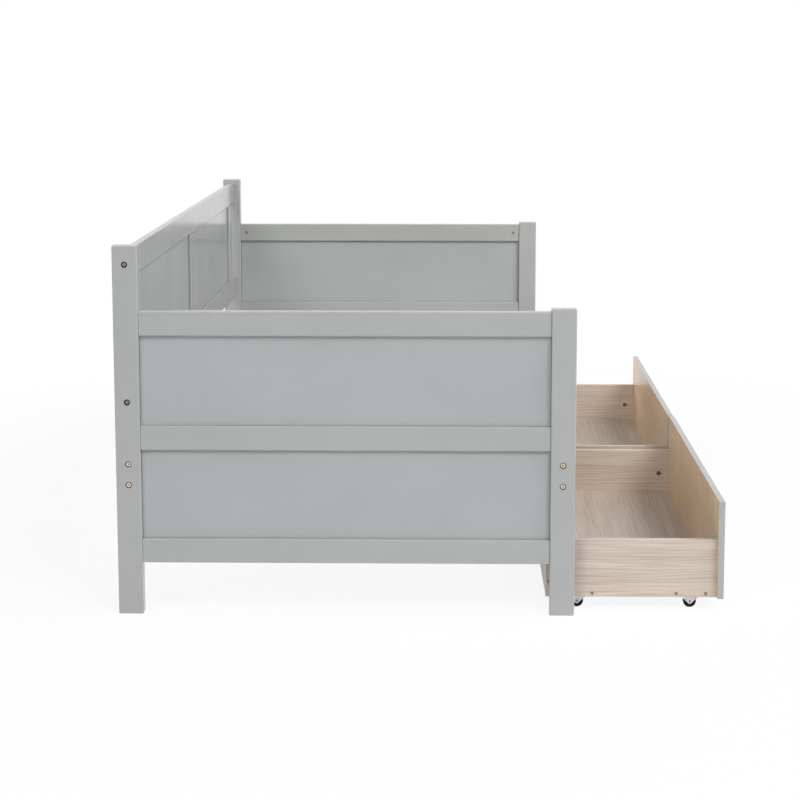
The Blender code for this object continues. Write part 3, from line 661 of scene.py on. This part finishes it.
# Bare wood darkened far below its own colour: painted shade for the walls of the bolt holes.
bare_hole_shade = fitting("bare_hole_shade", screen(74, 52, 40), screen(46, 31, 24), (0.7, 0.85), marks=400.0)
fittings = (copper, bronze, brass, tan, steel, zinc, enamel, nylon, bare_hole_shade)
print("fittings:", ", ".join(finish.name for finish in fittings))

# %% [markdown]
# ## Dressing the solids
# Every solid keeps its shape and only changes its finish. The grain follows the length of each piece:
# upright in posts and stiles, along the bed in the back and side rails, and across the bed in the end
# rails, the slats and the drawer sides. A table gives each finish the words that a solid's name ends
# with or holds.

# %% Finishes on the solids
FINISHES = {
    **seam_and_shade_paint,
    "post": post_paint,
    "slat": pine,
    "left_drawer_front": front_finish["left"],
    "right_drawer_front": front_finish["right"],
    "bracket": enamel,
    "wheel": nylon,
    "drawer_left_side": oak_along["Y"],
    "drawer_right_side": oak_along["Y"],
    "drawer_bottom": shaded_bottom_oak,
    "drawer": oak_along["X"],
}


def finish_of(name):
    """The finish of a solid: the first entry whose words its name ends with or holds."""
    ends = [finish for words, finish in FINISHES.items() if name.endswith(words)]
    return (ends or [finish for words, finish in FINISHES.items() if words in name])[0]


for name, solid in nodes.items():
    for material_slot in solid.material_slots:
        material_slot.material = finish_of(name)
print("dressed", len(nodes), "solids")

# %% [markdown]
# ## Shapes on a grid
# Each small fitting is a grid of points. One direction goes along a profile, the other goes round an
# axis, so a bolt head, a screw and a wheel are one function with different profiles. Where a row of
# the profile has a key in it, the circle becomes a hexagon or a cross.

# %% Grid helpers
CROSS_VALLEY = 0.42
CROSS_POWER = 5


def grid_faces(rows, columns, start, close_rows):
    """The four corners of every cell of a grid whose columns close into a ring."""
    row = np.arange(rows if close_rows else rows - 1)[:, None]
    column = np.arange(columns)[None, :]
    below, beside = (row + 1) % rows, (column + 1) % columns
    here, there = row * columns, below * columns
    corners = [here + column, here + beside, there + beside, there + column]
    cells = np.stack([np.broadcast_to(corner, (len(row), columns)) for corner in corners], -1)
    return cells.reshape(-1, 4) + start


def key_shape(kind, angle):
    """How far a row reaches at each angle. A hexagon reaches one over the cosine of the angle to the
    middle of its nearest flat. A cross reaches 1 along its four arms and least between them."""
    if kind == "hexagon":
        return 1 / np.cos((angle + np.pi / 6) % (np.pi / 3) - np.pi / 6)
    if kind == "cross":
        return CROSS_VALLEY + (1 - CROSS_VALLEY) * np.abs(np.cos(2 * angle)) ** CROSS_POWER
    return np.ones_like(angle)


def turned(profile, centre, axis, sides=32, key=None, keyed=()):
    """A profile of (distance, height) carried round an axis: point (i, j) lies at height i along the
    axis and at distance i from it, turned by j shares of a full turn."""
    distance, height = np.asarray(profile, float).T
    angle = 2 * np.pi * np.arange(sides) / sides
    reach = np.repeat(distance[:, None], sides, 1)
    reach[list(keyed)] *= key_shape(key, angle)
    axis = np.asarray(axis, float)
    first = np.cross(axis, (0.0, 0.0, 1.0) if abs(axis[2]) < 0.9 else (1.0, 0.0, 0.0))
    second = np.cross(axis, first)
    ring = np.cos(angle)[:, None] * first + np.sin(angle)[:, None] * second
    return np.asarray(centre) + height[:, None, None] * axis + reach[..., None] * ring


print("grid helpers ready")

# %% [markdown]
# ## From grids to a piece
# A fitting can have several grids, each with its own finish, such as the rim, the crown and the key
# hole of a bolt. They go into one mesh, doubled points are merged, and the faces are turned to point
# outwards.

# %% Piece helper
MERGE_WITHIN = 0.000002
SMOOTH_UP_TO = 35.0


def piece(name, parts, body):
    """One object from (grid, finish, closed rows) parts, merged, faced outwards and shaded smooth
    except over sharp edges. It rides on a body."""
    points, faces, finish_index, finishes = [], [], [], []
    for grid, finish, close_rows in parts:
        start = sum(len(block) for block in points)
        cells = grid_faces(*grid.shape[:2], start, close_rows)
        points.append(grid.reshape(-1, 3))
        faces.append(cells)
        if finish not in finishes:
            finishes.append(finish)
        finish_index.append(np.full(len(cells), finishes.index(finish)))
    mesh = bpy.data.meshes.new(name)
    mesh.from_pydata(np.concatenate(points), [], np.concatenate(faces))
    for finish in finishes:
        mesh.materials.append(finish)
    mesh.polygons.foreach_set("material_index", np.concatenate(finish_index).astype(np.int32))
    form = bmesh.new()
    form.from_mesh(mesh)
    bmesh.ops.remove_doubles(form, verts=form.verts, dist=MERGE_WITHIN)
    bmesh.ops.recalc_face_normals(form, faces=form.faces)
    form.to_mesh(mesh)
    form.free()
    mesh.shade_smooth()
    mesh.set_sharp_from_angle(angle=math.radians(SMOOTH_UP_TO))
    made = bpy.data.objects.new(name, mesh)
    bpy.context.scene.collection.objects.link(made)
    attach(made, body)
    return made


print("piece helper ready")

# %% [markdown]
# ## Connector bolts
# The bed comes flat in a box and is bolted together. Four bolts pass through each rear post and two
# through each front post, and their flat copper heads sit in stepped holes just under the surface,
# with a six-sided hole for the key. The hole's wall is bare wood, coloured much darker than bare wood
# as painted shade of the hole, which draws the dark ring around each head. On the deeper bolts the
# rim of the head is dark bronze, which is painted shade too. The profiles are in metres: distance
# from the axis, then height over the face of the post.

# %% Connector bolts
BOLT_HEIGHTS = {"front_post": (0.313, 0.363), "rear_post": (0.313, 0.363, 0.511, 0.836)}
DEEP_BOLTS = (0.511, 0.836)
HEAD_PROFILE = [
    (0, -0.0049), (0.0051, -0.0049), (0.0055, -0.0045), (0.0055, -0.0020), (0.0051, -0.0015),
    (0.0032, -0.0012), (0.0025, -0.0011), (0.0022, -0.0013), (0.0021, -0.0036), (0, -0.0040),
]
HEAD_KEYED = (7, 8)
RIM_ROWS = {True: 6, False: 5}
KEY_ROW = 8
SINK_DEEP = 0.0016
SEAT_PROFILE = [
    (0.0057, -0.0048), (0.0073, -0.0048), (0.0073, -0.0006), (0.0069, -0.0004), (0.0064, -0.0044),
]
BOLT_SIDES = 36


def bolt_piece(name, centre, outward, deep):
    """A bolt head in its bare hole, whose dark wall is painted shade, seen from outside the post. A
    deep one is sunk further and its rim is dark bronze as painted shade, so that only the crown around
    the key hole shines."""
    sunk = np.array(HEAD_PROFILE) - (0, SINK_DEEP if deep else 0)
    sunk[:3, 1] = np.array(HEAD_PROFILE)[:3, 1]
    head = turned(sunk, centre, outward, BOLT_SIDES, "hexagon", HEAD_KEYED)
    rim, crown, key = head[:RIM_ROWS[deep]], head[RIM_ROWS[deep] - 1:KEY_ROW], head[KEY_ROW - 1:]
    # A deep bolt's rim gets dark bronze as painted shade; a shallow one's rim is copper.
    rim_finish_and_shade, key_finish = (bronze, copper) if deep else (copper, tan)
    seat = (turned(SEAT_PROFILE, centre, outward, BOLT_SIDES), bare_hole_shade, True)
    parts = [(rim, rim_finish_and_shade, False), (crown, copper, False), (key, key_finish, False), seat]
    return piece(name, parts, "bed_frame")


bolts = []
for end, outward in (("left", (-1, 0, 0)), ("right", (1, 0, 0))):
    for post, heights in BOLT_HEIGHTS.items():
        node = f"{end}_{post}"
        face = low(node)[0] if end == "left" else high(node)[0]
        middle = (low(node)[1] + high(node)[1]) / 2
        for number, height in enumerate(heights, 1):
            deep = height in DEEP_BOLTS
            bolts.append(bolt_piece(f"{node}_bolt_{number}", (face, middle, height), outward, deep))
print("connector bolts:", len(bolts))

# %% [markdown]
# ## Barrel nuts
# Each bolt ends in a barrel nut, a short cylinder that lies across the rail, a little way in from the
# post. Its slotted end shows in a hole: on the inner face of a side rail, and on the rear face of a
# rail of the back.

# %% Barrel nuts
NUT_SETBACK = 0.030
POST_THICKNESS = 0.028
SIDE_RAIL_THICKNESS = 0.025
NUT_PROFILE = [
    (0, -0.0130), (0.0044, -0.0130), (0.0047, -0.0127), (0.0047, -0.0012), (0.0044, -0.0009),
    (0.0032, -0.0009), (0.0029, -0.0024), (0, -0.0026),
]
NUT_KEYED = (5, 6)
NUT_RAILS = {
    "front_side_rail": (1, BOLT_HEIGHTS["front_post"]),
    "rear_side_rail": (-1, BOLT_HEIGHTS["front_post"]),
    "back_bottom_rail": (1, (0.511,)),
    "back_top_rail": (1, (0.836,)),
}
nuts = []
shoulders = (low("left_rear_post")[0] + POST_THICKNESS, high("right_rear_post")[0] - POST_THICKNESS)
rail_faces = {
    "front_side_rail": high("front_side_rail")[1] - SIDE_RAIL_THICKNESS,
    "rear_side_rail": low("rear_side_rail")[1] + SIDE_RAIL_THICKNESS,
    "back_bottom_rail": high("back_bottom_rail")[1],
    "back_top_rail": high("back_top_rail")[1],
}
for rail, (facing, heights) in NUT_RAILS.items():
    for end, at in zip(("left", "right"), shoulders):
        inward = 1 if end == "left" else -1
        for number, height in enumerate(heights, 1):
            centre = (at + inward * NUT_SETBACK, rail_faces[rail], height)
            nut = turned(NUT_PROFILE, centre, (0, facing, 0), key="cross", keyed=NUT_KEYED)
            nuts.append(piece(f"{rail}_{end}_nut_{number}", [(nut, zinc, False)], "bed_frame"))
print("barrel nuts:", len(nuts))

# %% [markdown]
# ## Screws
# A screw head is a shallow dome with a cross pressed into it. Its profile starts at a hidden point
# inside the wood, comes out to the rim, rises over the dome and drops into the cross. The heads in the
# end rails and the drawers stand half a millimetre proud, and those in the slats and ledgers lie
# almost flush.

# %% Screw shapes
SCREW_SINK = 0.0016
SCREW_RIM = 0.0001
SCREW_LIP = 0.0003
SCREW_KEYED = (6, 7)
PROUD = 0.0005
FLUSH = 0.0002


def screw(centre, outward, radius, rise):
    """A cross-headed screw of a given head radius that stands proud by rise. Each row of the profile
    is a share of the radius, and the cross goes down by a share of it too."""
    profile = [
        (0, -SCREW_SINK), (radius * 0.55, -SCREW_SINK), (radius, -SCREW_RIM),
        (radius * 0.97, rise * 0.45), (radius * 0.80, rise * 0.80), (radius * 0.62, rise),
        (radius * 0.55, rise - SCREW_LIP), (radius * 0.30, rise - radius * 0.28),
        (0, rise - radius * 0.36),
    ]
    return turned(profile, centre, outward, key="cross", keyed=SCREW_KEYED)


def screws(name, places, outward, radius, finish, body, rise=PROUD):
    """Several screws of one board as one piece."""
    parts = [(screw(place, outward, radius, rise), finish, False) for place in places]
    return piece(name, parts, body)


print("screw shape ready")

# %% [markdown]
# ## Screws in the frame
# The top rail of each end shows two tan screws on its inner face, one near each post. The ledgers are
# screwed to the side rails, and each slat has one screw at each end, straight down into its ledger.

# %% Screws in the frame
CAP_HEIGHT = 0.6975
CAP_IN = 0.020
CAP_RADIUS = 0.0052
SMALL_RADIUS = 0.0036
LEDGER_MIDDLE = 0.3125
SLAT_SCREW_IN = 0.012
rail_in = {"left": high("left_top_rail")[0], "right": low("right_top_rail")[0]}
rail_ends = (high("left_front_post")[1] + CAP_IN, low("left_rear_post")[1] - CAP_IN)
for end, inward in (("left", 1), ("right", -1)):
    places = [(rail_in[end], y, CAP_HEIGHT) for y in rail_ends]
    screws(f"{end}_top_rail_screws", places, (inward, 0, 0), CAP_RADIUS, tan, "bed_frame")

LEDGER_SCREWS = np.linspace(-0.8, 0.8, 5)
for rail, facing, corner in (("front_side_rail", 1, high), ("rear_side_rail", -1, low)):
    places = [(x, corner(rail)[1], LEDGER_MIDDLE) for x in LEDGER_SCREWS]
    screws(f"{rail}_ledger_screws", places, (0, facing, 0), SMALL_RADIUS, zinc, "bed_frame", FLUSH)

slats = sorted(name for name in nodes if name.startswith("slat_"))
for slat in slats:
    middle, top = (low(slat)[0] + high(slat)[0]) / 2, high(slat)[2]
    places = [(middle, y, top) for y in (low(slat)[1] + SLAT_SCREW_IN, high(slat)[1] - SLAT_SCREW_IN)]
    screws(f"{slat}_screws", places, (0, 0, 1), SMALL_RADIUS, zinc, "bed_frame", FLUSH)
print("frame screws on", 4 + len(slats), "boards")

# %% [markdown]
# ## Screws and fittings in the drawers
# Dull brass screws hold the caster battens and the back to each drawer side. Near the front, a cam
# fitting in the side pulls on a bolt from the drawer front. It shows a bronze rim, a tan middle and a
# short length of the dark bolt, half sunk in the board.

# %% Screws in the drawers
BOARD = 0.015
BATTEN_RADIUS = 0.0042
CASTER_SCREW_SPREAD = 0.035
CASTER_SCREW_HEIGHT = 0.040
FRONT_FITTING = (0.030, 0.103)
CAM_PROFILE = [
    (0, -0.0030), (0.0056, -0.0030), (0.0062, 0.0002), (0.0058, 0.0008),
    (0.0036, 0.0008), (0.0032, 0.0004), (0.0016, 0.0004), (0, -0.0006),
]
CAM_RIM = 6
CAM_BOLT = [(0, 0.0058), (0.0010, 0.0059), (0.0010, 0.0126), (0, 0.0127)]
BACK_SCREW_HEIGHTS = (0.068, 0.138)
for drawer in ("left", "right"):
    body = f"{drawer}_drawer"
    front_inner = high(f"{drawer}_drawer_front")[1]
    wheel_ys = [
        (low(f"{drawer}_drawer_{row}_left_wheel")[1] + high(f"{drawer}_drawer_{row}_left_wheel")[1]) / 2
        for row in ("front", "rear")
    ]
    back_y = (low(f"{drawer}_drawer_back")[1] + high(f"{drawer}_drawer_back")[1]) / 2
    for side, outward in (("left", -1), ("right", 1)):
        board = f"{drawer}_drawer_{side}_side"
        outer = low(board)[0] if outward < 0 else high(board)[0]
        inner = outer - outward * BOARD
        spread_ys = [y + step for y in wheel_ys for step in (-CASTER_SCREW_SPREAD, CASTER_SCREW_SPREAD)]
        places = [(outer, y, CASTER_SCREW_HEIGHT) for y in spread_ys]
        screws(f"{board}_batten_screws", places, (outward, 0, 0), BATTEN_RADIUS, brass, body)
        places = [(outer, back_y, z) for z in BACK_SCREW_HEIGHTS]
        screws(f"{board}_back_screws", places, (outward, 0, 0), BATTEN_RADIUS, brass, body)
        place = (inner, front_inner + FRONT_FITTING[0], FRONT_FITTING[1])
        cam = turned(CAM_PROFILE, place, (-outward, 0, 0))
        bolt = turned(CAM_BOLT, place, (0, -1, 0), sides=12)
        parts = [(cam[:CAM_RIM], bronze, False), (cam[CAM_RIM - 1:], tan, False), (bolt, bronze, False)]
        piece(f"{board}_front_fitting", parts, body)
print("drawer screws on 4 sides")

# %% [markdown]
# ## Caster wheels
# Each caster is a white bracket bent to a U, with a steel axle riveted through it and a black nylon
# wheel. The wheel's profile has a flat tread with rounded shoulders, a dished side and a hub.

# %% Wheels
TREAD, WIDTH, HUB, BORE = 0.0155, 0.013, 0.0055, 0.0028
ROUND_OFF = 0.0018
CHAMFER = 0.0004
DISH = [(0.0061, 0.0018), (0.0108, 0.0020), (0.0118, 0.0006), (0.0124, 0.0)]


def wheel_profile():
    """Half of the wheel from its bore over the hub, down into the dish, up to the rim and round a
    quarter of a circle to its tread, then the same mirrored. The dish is given by how far each place
    lies from the axis and how deep it is."""
    half = WIDTH / 2
    turn = np.linspace(0, np.pi / 2, 5)
    shoulder = np.stack([
        TREAD - ROUND_OFF + ROUND_OFF * np.sin(turn), half - ROUND_OFF + ROUND_OFF * np.cos(turn)
    ], 1)
    dish = [(distance, half - depth) for distance, depth in DISH]
    hub = [(BORE, half - CHAMFER / 2), (HUB - CHAMFER, half), (HUB, half - CHAMFER)]
    side = np.array([*hub, *dish])
    one = np.concatenate([side, shoulder])
    return np.concatenate([one, (one * (1, -1))[::-1]])


print("wheel profile:", len(wheel_profile()), "points")

# %% [markdown]
# ## Caster brackets
# A bracket is a closed strip of bent sheet: at each place along it the same U stands across, and only
# its legs change. They reach down to a round eye, rise straight from there to a knee and flare out
# into the two ears, where they meet the plate.

# %% Brackets
SHEET = 0.0015
EYE = 0.006
EYE_LEFT_AT = math.radians(-50)
KNEE = (0.0142, 0.0055)
EAR = 0.0222
CURVED_SHARE = 0.55
EYE_SPAN = 0.7
FLARE_FROM = 0.12
RIVET_OUT = 0.001


def leg_edge(y, rise):
    """How high the lower edge of a leg lies at each place along the bracket, from the axle. It is an
    arc of the eye, then a straight line to the knee, then a flare that lifts to the plate at the ear:
    a bit over half of its rise follows a quarter of an ellipse, and the rest is even."""
    reach = np.abs(y)
    start = EYE * math.cos(EYE_LEFT_AT), EYE * math.sin(EYE_LEFT_AT)
    round_eye = -np.sqrt(np.maximum(EYE ** 2 - reach ** 2, 0))
    straight = start[1] + (reach - start[0]) * (KNEE[1] - start[1]) / (KNEE[0] - start[0])
    out = np.clip((reach - KNEE[0]) / (EAR - KNEE[0]), 0, 1)
    lift = CURVED_SHARE * (1 - np.sqrt(1 - out ** 2)) + (1 - CURVED_SHARE) * out
    flare = KNEE[1] + (rise - KNEE[1]) * lift
    return np.where(reach < start[0], round_eye, np.where(reach < KNEE[0], straight, flare))


def bracket_grid(box_low, box_high, hub):
    """The U of bent sheet: at each place along the bracket, a closed ring of fourteen points that runs
    up one leg, over the plate and down the other on the outside, and back the same way inside."""
    half, top = (box_high[0] - box_low[0]) / 2 - RIVET_OUT, box_high[2] - hub[2]
    inner, roof = half - SHEET, top - SHEET
    eye = EYE * np.sin(np.linspace(-EYE_SPAN, EYE_SPAN, 15) * np.pi / 2)
    straight = np.linspace(eye[-1], KNEE[0], 5)[1:]
    flare = KNEE[0] + (EAR - KNEE[0]) * np.linspace(FLARE_FROM, 1, 9)
    arm = np.concatenate([straight, flare])
    y = np.concatenate([-arm[::-1], eye, arm])
    edge = np.minimum(leg_edge(y, roof), roof)
    bend = np.linspace(0, np.pi / 2, 4)
    over = np.stack([inner + SHEET * np.cos(bend), roof + SHEET * np.sin(bend)], 1)
    over = np.concatenate([over, (over * (-1, 1))[::-1]])
    rings = []
    for place, foot in zip(y, edge):
        inside = [(-inner, foot), (-inner, roof), (inner, roof), (inner, foot)]
        section = np.concatenate([[(half, foot)], over, [(-half, foot)], inside])
        rings.append(np.stack([section[:, 0], np.full(len(section), place), section[:, 1]], 1))
    ends = [np.repeat(ring.mean(0)[None], len(ring), 0) for ring in (rings[0], rings[-1])]
    return np.array([ends[0], *rings, ends[1]]) + hub


print("bracket reaches", EAR, "m each way")

# %% [markdown]
# ## Casters in their places
# The finer wheel and bracket take the place of the plain ones in the solids and ride on the same
# bodies: the bracket on its drawer, the wheel on its own hinge. The axle's ends are small domes on the
# cheeks of the bracket, and they belong to it.

# %% Casters in their places
AXLE = [(0, -0.0100), (0.0011, -0.0099), (0.0019, -0.0096), (0.0022, -0.0091), (0.0021, -0.0088)]
for drawer in ("left", "right"):
    for row in ("front", "rear"):
        for side in ("left", "right"):
            label = f"{drawer}_drawer_{row}_{side}"
            wheel = f"{label}_wheel"
            hub = (low(wheel) + high(wheel)) / 2
            made = piece(
                f"{label}_nylon_wheel",
                [(turned(wheel_profile(), hub, (1, 0, 0), sides=64), nylon, True)],
                f"{label}_caster_wheel",
            )
            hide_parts(wheel)
            axle = np.array(AXLE)
            axle = turned(np.concatenate([axle, (axle * (1, -1))[::-1]]), hub, (1, 0, 0), sides=24)
            bracket = f"{label}_bracket"
            sheet = bracket_grid(low(bracket), high(bracket), hub)
            made = piece(
                f"{label}_sheet_bracket", [(sheet, enamel, False), (axle, steel, False)],
                f"{drawer}_drawer",
            )
            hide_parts(bracket)
print("casters finished")
